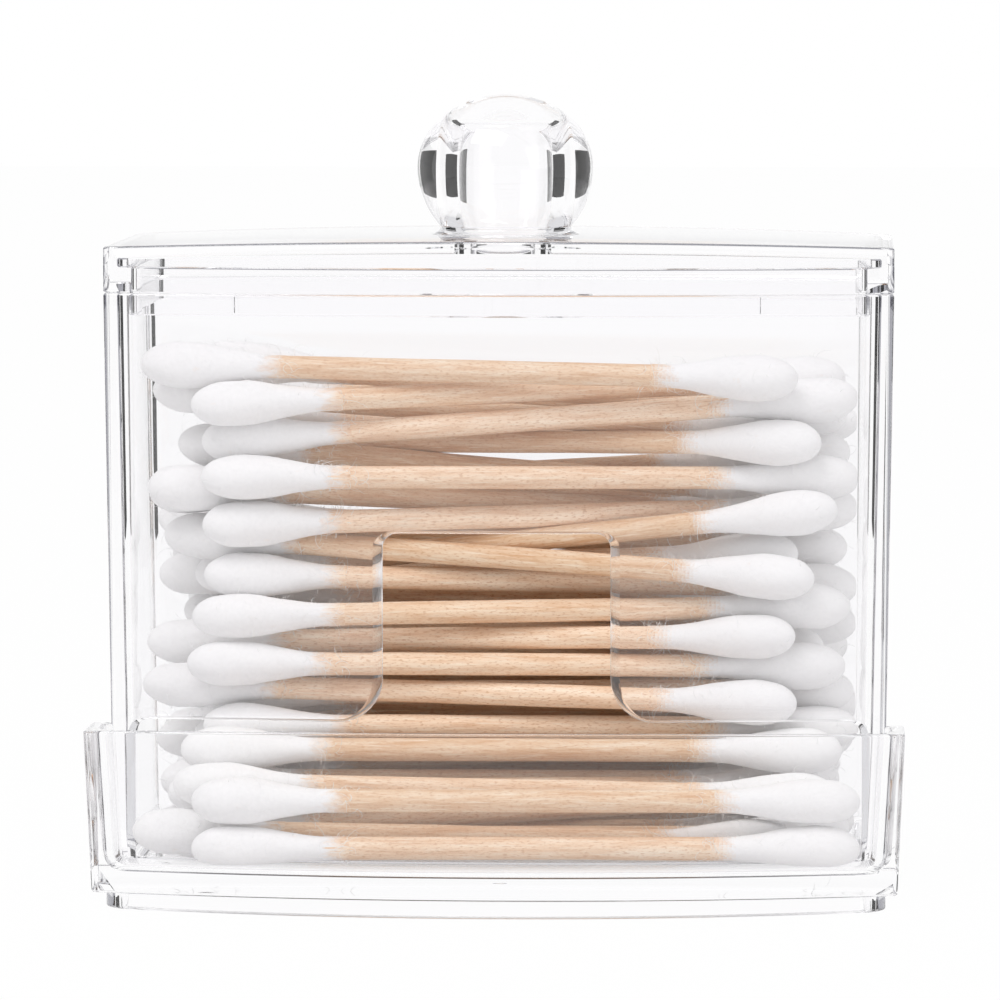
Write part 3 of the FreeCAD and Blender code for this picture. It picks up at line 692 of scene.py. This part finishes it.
def add_fuzz(tip, inward, side, other, length, draw, fuzz):
    """Loose cotton fibres: thin ribbons that leave the bud at a slant and curl back."""
    for number in range(FIBRES):
        stray = number % STRAY_EVERY == 0
        along = (draw.uniform(length - 3.5, length + 1.2) if stray
                 else length * draw.uniform(0.02, 1.0))
        turn = draw.uniform(0, 2 * math.pi)
        out = side * math.cos(turn) + other * math.sin(turn)
        around = inward.cross(out)
        place = tip + inward * along + out * (bud_radius(along) - 0.02)
        heading = (inward * draw.gauss(0.4 * stray, 1) + around * draw.gauss(0, 0.7)).normalized()
        reach = min(draw.expovariate(1 / (1.1 if stray else 0.9)) + FIBRE_LEAST, FIBRE_LONGEST)
        lift = draw.uniform(0.1, 0.7 if stray else 0.5)
        across = out.cross(heading).normalized()
        curl = draw.choice((-1, 1)) * draw.uniform(0.4, 3.2)
        wide = draw.uniform(*FIBRE_WIDTHS)
        start = len(fuzz.points)
        for step in range(FIBRE_STEPS + 1):
            share = step / FIBRE_STEPS
            turn = curl * share
            point = place + (heading * math.sin(turn) + across * (1 - math.cos(turn))) * reach / curl
            point += out * lift * math.sin(math.pi * share * 0.8)
            edge = (across * math.cos(turn) - heading * math.sin(turn)) * wide * (1 - 0.6 * share)
            fuzz.points += [point - edge, point + edge]
        for step in range(FIBRE_STEPS):
            base = start + 2 * step
            fuzz.faces.append((base, base + 1, base + 3, base + 2))
            fuzz.places += [(1.0, 0)] * 4
            fuzz.tints += [0.5] * 4
            fuzz.thins += [0.0] * 4


# ---------------------------------------------------------------- materials

# the rays that see the background: the camera's, and those off metal and through glass
DIRECT = ("Is Camera Ray", "Is Glossy Ray", "Is Transmission Ray")
# light reflected inside the plastic is followed this often
MOST_REFLECTIONS = 3
# birch, from its dark grain to its light grain, then its pores and its light streaks
GRAIN_DARK, GRAIN_MIDDLE, GRAIN_LIGHT = (0.76, 0.48, 0.30), (0.88, 0.64, 0.45), (0.96, 0.79, 0.62)
PORE, STREAK = (0.66, 0.38, 0.21), (0.96, 0.83, 0.68)
# white of the wound cotton, with painted shade in the hollows of its fibres and full white on the
# ridges
COTTON_HOLLOW_SHADE, COTTON_WHITE = (0.90, 0.892, 0.892), (0.95, 0.943, 0.943)
FIBRE_WHITE = (0.92, 0.92, 0.92, 1)
# how far a bump of full height stands out, in metres
BUMP_DEPTH = 0.0001


def ray_switch(tree, flags):
    """A value of 1 for rays with any of the flags, which are outputs of Light Path."""
    path = tree.nodes.new("ShaderNodeLightPath")
    switch = path.outputs[flags[0]]
    for flag in flags[1:]:
        larger = tree.nodes.new("ShaderNodeMath")
        larger.operation = "MAXIMUM"
        tree.links.new(switch, larger.inputs[0])
        tree.links.new(path.outputs[flag], larger.inputs[1])
        switch = larger.outputs[0]
    return switch


def mixed(tree, share, first, second):
    """Two shaders mixed by a share, a socket."""
    mix = tree.nodes.new("ShaderNodeMixShader")
    for place, socket in enumerate((share, first, second)):
        tree.links.new(socket, mix.inputs[place])
    return mix.outputs[0]


class Nodes:
    """A material's node tree, with short ways to add and link nodes."""

    def __init__(self, name):
        self.material = bpy.data.materials.new(name)
        self.material.use_nodes = True
        self.tree = self.material.node_tree
        self.tree.nodes.clear()
        self.output = self.add("ShaderNodeOutputMaterial")

    def add(self, kind, settings=None, **inputs):
        """A new node with attributes from settings, and its inputs by name, with _ for a space."""
        node = self.tree.nodes.new(kind)
        for name, value in (settings or {}).items():
            setattr(node, name, value)
        for name, value in inputs.items():
            self.set(node, name.replace("_", " "), value)
        return node

    def set(self, node, name, value):
        """Give an input a plain value, or link a socket to it."""
        socket = node.inputs[name]
        if isinstance(value, bpy.types.NodeSocket):
            self.tree.links.new(value, socket)
        else:
            socket.default_value = value

    def ramp(self, source, stops):
        """Colours picked by a value; stops are (place, colour)."""
        node = self.add("ShaderNodeValToRGB", Fac=source)
        elements = node.color_ramp.elements
        for number, (place, colour) in enumerate(stops):
            element = elements[number] if number < 2 else elements.new(place)
            element.position = place
            element.color = (*colour, 1)
        return node.outputs["Color"]


def clear_plastic():
    """Clear moulded polystyrene. Lamps and the light bounced off the swabs pass straight through,
    and light reflected inside it too often to be followed leaves it, dimmed."""
    nodes = Nodes("clear_plastic")
    plastic = nodes.add("ShaderNodeBsdfPrincipled", Base_Color=(0.99, 0.987, 0.994, 1), Roughness=0.012,
                        IOR=1.5, Transmission_Weight=1.0)
    depth = nodes.add("ShaderNodeLightPath").outputs["Glossy Depth"]
    trapped = nodes.add("ShaderNodeMath", {"operation": "GREATER_THAN"})
    nodes.tree.links.new(depth, trapped.inputs[0])
    trapped.inputs[1].default_value = MOST_REFLECTIONS + 0.5
    lost = nodes.add("ShaderNodeBsdfTransparent", Color=(0.72, 0.72, 0.74, 1))
    surface = mixed(nodes.tree, trapped.outputs[0], plastic.outputs[0], lost.outputs[0])
    through = nodes.add("ShaderNodeBsdfTransparent", Color=(0.98, 0.977, 0.982, 1))
    passing = ray_switch(nodes.tree, ("Is Shadow Ray", "Is Diffuse Ray"))
    surface = mixed(nodes.tree, passing, surface, through.outputs[0])
    nodes.tree.links.new(surface, nodes.output.inputs["Surface"])
    return nodes.material


def stretched(nodes, along, around):
    """The swab's own coordinates, scaled along and around it."""
    place = nodes.add("ShaderNodeUVMap", {"uv_map": "along"}).outputs["UV"]
    mapping = nodes.add("ShaderNodeMapping", Vector=place)
    mapping.inputs["Scale"].default_value = (along, around, 1)
    return mapping.outputs["Vector"]


def remapped(nodes, value, low, high, first=0.0, last=1.0):
    """Value carried from the span low to high onto first to last, held at its ends."""
    node = nodes.add("ShaderNodeMapRange", Value=value)
    for name, number in (("From Min", low), ("From Max", high), ("To Min", first), ("To Max", last)):
        node.inputs[name].default_value = number
    return node.outputs["Result"]


def blended(nodes, share, first, second):
    """Two colours mixed by a share; each is a socket or a plain colour."""
    mix = nodes.add("ShaderNodeMix", {"data_type": "RGBA"})
    nodes.tree.links.new(share, mix.inputs[0])
    for socket, colour in ((mix.inputs[6], first), (mix.inputs[7], second)):
        if isinstance(colour, bpy.types.NodeSocket):
            nodes.tree.links.new(colour, socket)
        else:
            socket.default_value = (*colour, 1)
    return mix.outputs[2]


def noise_of(nodes, along, around, detail=3.0, roughness=0.5):
    """A noise value stretched along and around the swab."""
    return nodes.add("ShaderNodeTexNoise", Vector=stretched(nodes, along, around), Scale=1.0,
                     Detail=detail, Roughness=roughness).outputs["Fac"]


def birch_colour(nodes):
    """Pale tan, streaked along the stick, each stick a little different, with small pores."""
    tint = nodes.add("ShaderNodeAttribute", {"attribute_name": "tint"}).outputs["Fac"]
    colour = nodes.ramp(noise_of(nodes, 0.10, 8.0, 5.0, 0.7),
                        [(0.32, GRAIN_DARK), (0.48, GRAIN_MIDDLE), (0.66, GRAIN_LIGHT)])
    shade = nodes.add("ShaderNodeHueSaturation", Color=colour)
    nodes.tree.links.new(remapped(nodes, tint, 0, 1, 0.9, 1.07), shade.inputs["Value"])
    nodes.tree.links.new(remapped(nodes, tint, 0, 1, 1.12, 0.9), shade.inputs["Saturation"])
    dark = remapped(nodes, noise_of(nodes, 1.6, 44.0, 2.0), 0.55, 0.64, 0, 0.6)
    colour = blended(nodes, dark, shade.outputs["Color"], PORE)
    light = remapped(nodes, noise_of(nodes, 0.25, 30.0, 2.0), 0.56, 0.70, 0, 0.6)
    return blended(nodes, light, colour, STREAK)


def wood():
    """Plain birch, its grain standing out a little."""
    nodes = Nodes("birch_wood")
    bump = nodes.add("ShaderNodeBump", Strength=1.0, Distance=BUMP_DEPTH,
                     Height=noise_of(nodes, 0.35, 20.0, 5.0, 0.65))
    surface = nodes.add("ShaderNodeBsdfPrincipled", Base_Color=birch_colour(nodes), Roughness=0.7,
                        Normal=bump.outputs["Normal"])
    surface.inputs["Specular IOR Level"].default_value = 0.3
    nodes.tree.links.new(surface.outputs[0], nodes.output.inputs["Surface"])
    return nodes.material


def cotton():
    """Wound cotton: white and matte, with painted shade in the hollows of its fibres, thinning to loose
    fibres where it ends on the stick.
    """
    nodes = Nodes("wound_cotton")
    fibres = noise_of(nodes, 2.2, 26.0, 6.0, 0.7)
    height = nodes.add("ShaderNodeMath", {"operation": "ADD"})
    nodes.tree.links.new(fibres, height.inputs[0])
    nodes.tree.links.new(noise_of(nodes, 0.5, 6.0), height.inputs[1])
    bump = nodes.add("ShaderNodeBump", Strength=0.45, Distance=BUMP_DEPTH, Height=height.outputs[0])
    # painted shade: the fibre noise that sinks the bumps also darkens the cotton in their hollows
    white = nodes.ramp(fibres, [(0.3, COTTON_HOLLOW_SHADE), (0.6, COTTON_WHITE)])
    thin = nodes.add("ShaderNodeAttribute", {"attribute_name": "thin"}).outputs["Fac"]
    wisps = nodes.add("ShaderNodeMath", {"operation": "SUBTRACT"})
    nodes.tree.links.new(thin, wisps.inputs[0])
    uneven = remapped(nodes, noise_of(nodes, 0.5, 9.0, 5.0, 0.7), 0.3, 0.7, -0.3, 0.3)
    nodes.tree.links.new(uneven, wisps.inputs[1])
    bare = remapped(nodes, wisps.outputs[0], 0.2, 0.95)
    colour = blended(nodes, bare, white, birch_colour(nodes))
    surface = nodes.add("ShaderNodeBsdfPrincipled", Base_Color=colour, Roughness=0.95,
                        Normal=bump.outputs["Normal"])
    surface.inputs["Specular IOR Level"].default_value = 0.15
    surface.inputs["Sheen Weight"].default_value = 0.2
    nodes.tree.links.new(surface.outputs[0], nodes.output.inputs["Surface"])
    return nodes.material


def fibre():
    """Single loose cotton fibres: white, and thin enough to let light through."""
    nodes = Nodes("loose_fibre")
    soft = nodes.add("ShaderNodeBsdfDiffuse", Color=FIBRE_WHITE)
    through = nodes.add("ShaderNodeBsdfTranslucent", Color=FIBRE_WHITE)
    mix = nodes.add("ShaderNodeMixShader", Fac=0.5)
    nodes.tree.links.new(soft.outputs[0], mix.inputs[1])
    nodes.tree.links.new(through.outputs[0], mix.inputs[2])
    nodes.tree.links.new(mix.outputs[0], nodes.output.inputs["Surface"])
    return nodes.material


# ---------------------------------------------------------------- pieces

plastic, birch, fluff, loose = clear_plastic(), wood(), cotton(), fibre()

case = make_case()
finish_piece(case, BODY, plastic, weighted=True)
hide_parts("case")
lid = make_lid()
finish_piece(lid, LID, plastic, weighted=True)
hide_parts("lid")

draw = random.Random(11)
layers = sorted(name[:-len("_sticks")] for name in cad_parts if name.endswith("_sticks"))
for layer in layers:
    sticks, buds, fuzz = Strips(), Strips(), Strips()
    for line in stick_lines(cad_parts[f"{layer}_sticks"]):
        line = [point - Vector((0, AXIS_Y, 0)) for point in line]
        add_swab(line, draw, sticks, buds, fuzz)
    pieces = (sticks.make(f"{layer}_sticks_detail"), buds.make(f"{layer}_buds_detail"),
              fuzz.make(f"{layer}_fibres"))
    for piece, material, slot in zip(pieces, (birch, fluff, loose), ("wood", "cotton", "cotton")):
        finish_piece(piece, BODY, material, sharp=60.0)
    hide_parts(f"{layer}_sticks")
    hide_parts(f"{layer}_buds")

# ---------------------------------------------------------------- stage


def whitened(name, colour, share):
    """A matte surface that the camera, gloss and clear plastic see nearly white."""
    nodes = Nodes(name)
    matte = nodes.add("ShaderNodeBsdfDiffuse", Color=colour)
    glow = nodes.add("ShaderNodeEmission", Strength=1.0)
    part = nodes.add("ShaderNodeMath", {"operation": "MULTIPLY"})
    nodes.tree.links.new(ray_switch(nodes.tree, DIRECT), part.inputs[0])
    part.inputs[1].default_value = share
    surface = mixed(nodes.tree, part.outputs[0], matte.outputs[0], glow.outputs[0])
    nodes.tree.links.new(surface, nodes.output.inputs["Surface"])
    return nodes.material


def make_world():
    """Soft light all round, and white behind the object."""
    world = bpy.data.worlds.new("studio")
    bpy.context.scene.world = world
    world.use_nodes = True
    tree = world.node_tree
    tree.nodes.clear()
    output = tree.nodes.new("ShaderNodeOutputWorld")
    light, shown = (tree.nodes.new("ShaderNodeBackground") for _ in range(2))
    for background, strength in ((light, AMBIENT), (shown, 1.0)):
        background.inputs["Strength"].default_value = strength
        background.inputs["Color"].default_value = (1.0, 1.0, 1.0, 1)
    sky = mixed(tree, ray_switch(tree, DIRECT), light.outputs[0], shown.outputs[0])
    tree.links.new(sky, output.inputs["Surface"])


def card(name, centre, width, height, facing, material):
    """A flat stage card, width by height metres, turned to face a place."""
    mesh = bpy.data.meshes.new(name)
    x, y = width / 2, height / 2
    mesh.from_pydata([(-x, -y, 0), (x, -y, 0), (x, y, 0), (-x, y, 0)], [], [(0, 1, 2, 3)])
    thing = bpy.data.objects.new(name, mesh)
    bpy.context.scene.collection.objects.link(thing)
    mesh.materials.append(material)
    thing.location = centre
    thing.rotation_mode = "QUATERNION"
    thing.rotation_quaternion = (Vector(facing) - Vector(centre)).to_track_quat("Z", "Y")
    return thing


def area_light(name, centre, size, power, target):
    """A rectangular lamp turned to a target."""
    lamp = bpy.data.lights.new(name, "AREA")
    lamp.shape = "RECTANGLE"
    lamp.size, lamp.size_y = size
    lamp.energy = power
    thing = bpy.data.objects.new(name, lamp)
    bpy.context.scene.collection.objects.link(thing)
    thing.location = centre
    thing.rotation_mode = "QUATERNION"
    thing.rotation_quaternion = (Vector(target) - Vector(centre)).to_track_quat("-Z", "Y")


make_world()
middle = Vector((0, 0, 0.04))
floor_mesh = bpy.data.meshes.new("floor")
corners = [(x * FLOOR_REACH, y * FLOOR_REACH, 0) for x, y in ((-1, -1), (1, -1), (1, 1), (-1, 1))]
floor_mesh.from_pydata(corners, [], [(0, 1, 2, 3)])
floor = bpy.data.objects.new("floor", floor_mesh)
bpy.context.scene.collection.objects.link(floor)
floor_mesh.materials.append(whitened("pale_floor", (0.9, 0.9, 0.9, 1), FLOOR_WHITENESS))

for name, place, size, power in LIGHTS:
    area_light(name, place, size, power, middle)

# two dark cards beside and behind the object, which only shiny and clear surfaces see, draw the
# edges of clear plastic; their azimuth runs from straight behind the object
dark = Nodes("dark_card")
glow = dark.add("ShaderNodeEmission", Strength=CARD_GLOW)
dark.tree.links.new(glow.outputs[0], dark.output.inputs["Surface"])
turn = math.radians(CARD_AZIMUTH)
width = 2 * CARD_REACH * math.tan(math.radians(CARD_SPREAD / 2))
level = (CARD_LOW + CARD_HIGH) / 2
for side in (-1, 1):
    centre = Vector((side * CARD_REACH * math.sin(turn), CARD_REACH * math.cos(turn), level))
    thing = card("dark_card", centre, width, CARD_HIGH - CARD_LOW, (0, 0, level), dark.material)
    thing.visible_camera = thing.visible_diffuse = thing.visible_shadow = False

# ---------------------------------------------------------------- camera

camera = bpy.data.cameras.new("camera")
camera.sensor_width = SENSOR
camera.lens = CAMERA_LENS
camera.clip_end = 20.0
viewer = bpy.data.objects.new("camera", camera)
bpy.context.scene.collection.objects.link(viewer)
viewer.location = CAMERA_PLACE
viewer.rotation_euler = (math.radians(90 - CAMERA_TILT), 0, math.radians(CAMERA_TURN))
bpy.context.scene.camera = viewer
bpy.context.scene.view_settings.view_transform = "Standard"
